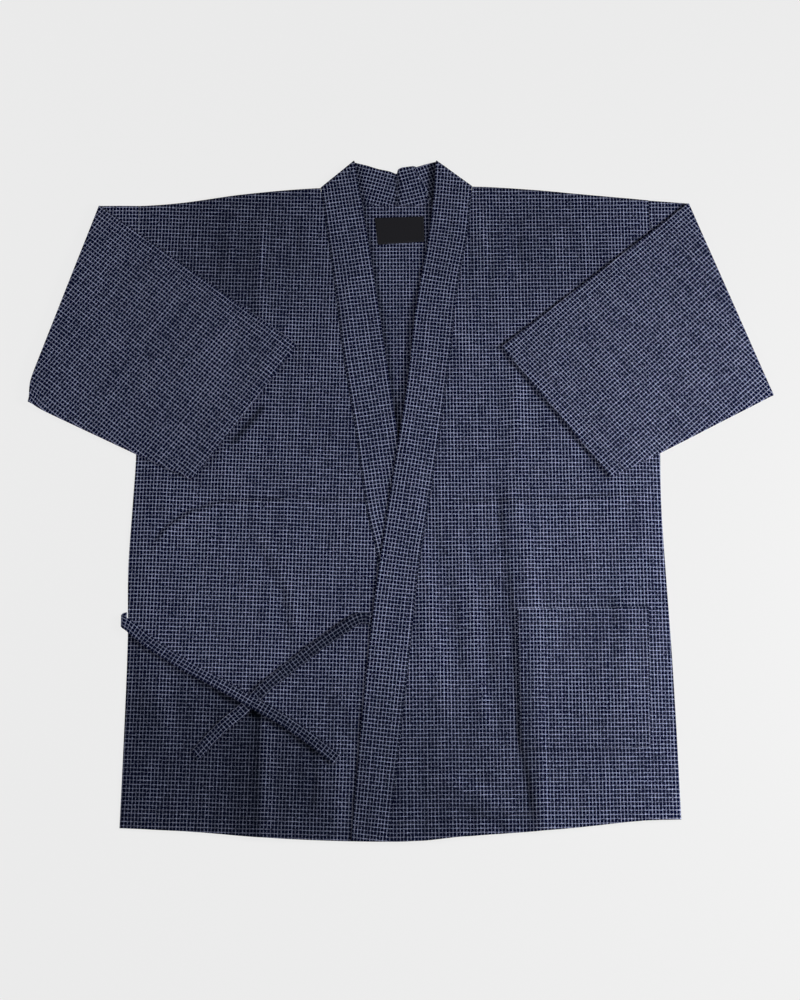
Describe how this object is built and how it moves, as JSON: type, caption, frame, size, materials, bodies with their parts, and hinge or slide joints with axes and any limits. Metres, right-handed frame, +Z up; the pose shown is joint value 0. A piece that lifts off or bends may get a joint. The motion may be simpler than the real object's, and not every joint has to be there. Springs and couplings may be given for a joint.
{
  "type": "samue jacket",
  "caption": "Short wrap jacket of checked cotton laid flat, left front over right, sleeves folded forward, with a collar band, patch pocket and two ties.",
  "frame": {"origin": "middle of the jacket's outline, on the surface that it lies on", "axes": "+Z up from that surface, +Y from the hem to the collar, +X across to the wearer's left"},
  "size_m": [0.8926, 0.8356, 0.0094],
  "materials": {
    "checked_cotton": "matte small check of pale threads on navy",
    "collar_cotton": "the same check, doubled",
    "tie_cotton": "the same check, folded to a narrow strip",
    "label_weave": "smooth dark woven label, bare"
  },
  "bodies": {
    "root": {"back": "checked_cotton", "right_front": "checked_cotton", "left_front": "checked_cotton", "right_sleeve": "checked_cotton", "left_sleeve": "checked_cotton", "collar_right_run": "collar_cotton", "collar_back_run": "collar_cotton", "collar_left_run": "collar_cotton", "pocket": "checked_cotton", "neck_label": "label_weave", "side_tie": "tie_cotton", "front_tie": "tie_cotton"}
  },
  "joints": []
}
